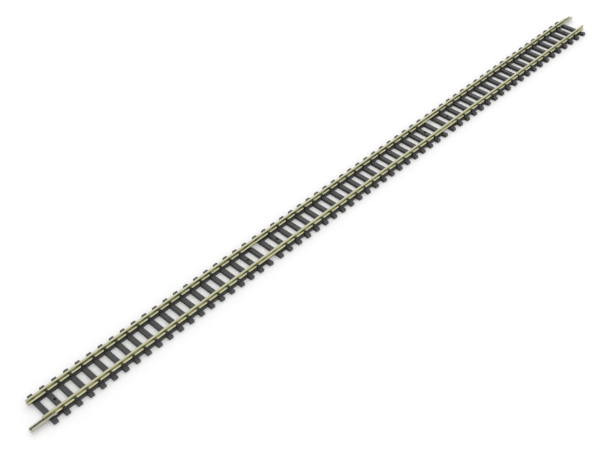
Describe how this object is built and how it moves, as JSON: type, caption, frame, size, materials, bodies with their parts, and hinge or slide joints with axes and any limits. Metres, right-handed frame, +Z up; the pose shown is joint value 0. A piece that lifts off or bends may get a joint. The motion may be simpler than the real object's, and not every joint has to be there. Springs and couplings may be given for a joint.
{
  "type": "model track section",
  "caption": "Straight section of small-gauge model railway track: two metal rails clipped into dark plastic sleeper mouldings, with a sliding sheet-metal rail joiner at each end.",
  "frame": {"origin": "middle of the underside: halfway along the section, halfway between the rails, on the plane that the sleepers rest on", "axes": "+X along the track, towards the end whose far rail carries a joiner; +Y across the track, towards the far rail; +Z up, from the sleepers to the rail heads"},
  "size_m": [0.3238, 0.016, 0.0033],
  "materials": {
    "rail_metal": "drawn nickel silver, bright on the heads",
    "joiner_metal": "folded nickel silver sheet",
    "sleeper_plastic": "moulded matt dark grey, faint wood grain"
  },
  "bodies": {
    "track": {"rail_near": "rail_metal", "rail_far": "rail_metal", "sleeper_base_left": "sleeper_plastic", "sleeper_base_middle": "sleeper_plastic", "sleeper_base_right": "sleeper_plastic"},
    "joiner_left": {"rail_joiner_left": "joiner_metal"},
    "joiner_right": {"rail_joiner_right": "joiner_metal"}
  },
  "joints": [
    {"name": "joiner_left_slide", "type": "slide", "parent": "track", "child": "joiner_left", "axis": [1, 0, 0], "range_m": [-0.0055, 0.0013]},
    {"name": "joiner_right_slide", "type": "slide", "parent": "track", "child": "joiner_right", "axis": [-1, 0, 0], "range_m": [-0.0055, 0.0013]}
  ]
}
